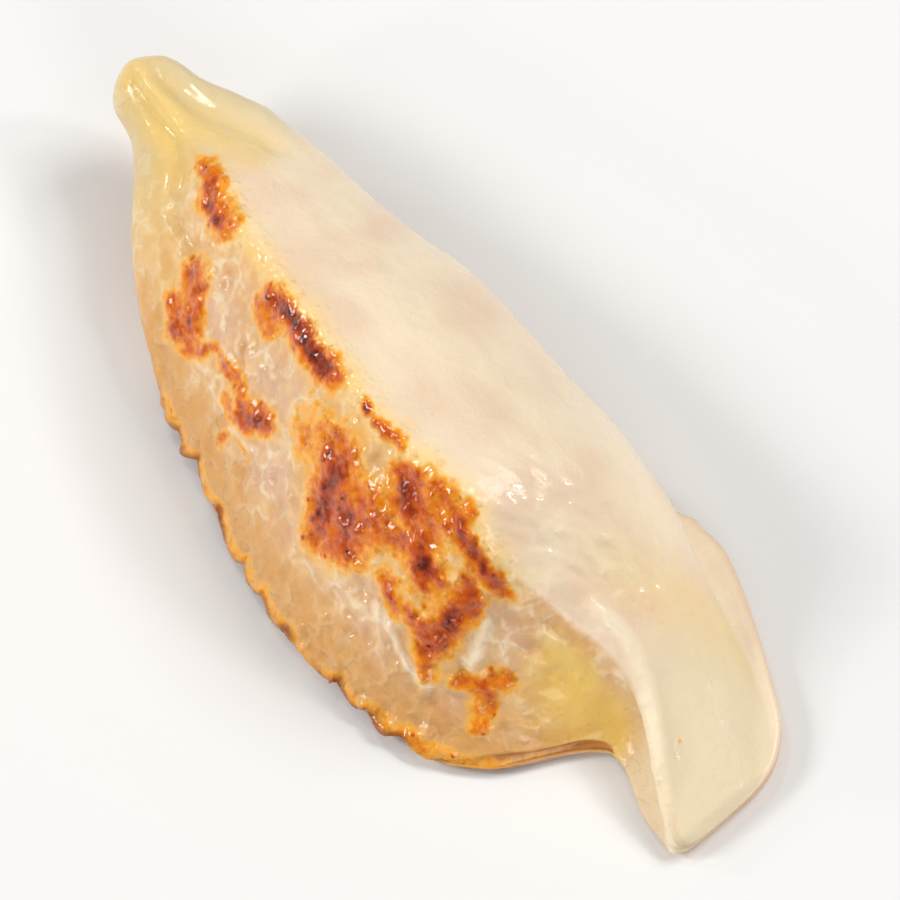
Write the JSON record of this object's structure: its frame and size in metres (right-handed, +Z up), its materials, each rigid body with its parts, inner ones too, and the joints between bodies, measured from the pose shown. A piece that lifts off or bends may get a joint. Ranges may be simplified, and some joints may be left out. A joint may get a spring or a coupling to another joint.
{
  "type": "gyoza dumpling",
  "caption": "Half-moon pan-fried dumpling with a browned flat base, a smooth wall, a pleated underside, a sealed rim and pinched ends.",
  "frame": {"origin": "centre of the bounding box in plan, on the surface that the dumpling rests on", "axes": "+X along the dumpling, from its pinched tip to the flat tail of its seam; -Y towards the browned base, +Y towards the sealed rim; +Z up"},
  "size_m": [0.086, 0.0364, 0.0209],
  "materials": {
    "dough": "gloss"
  },
  "bodies": {
    "root": {"gyoza": "dough"}
  },
  "joints": []
}
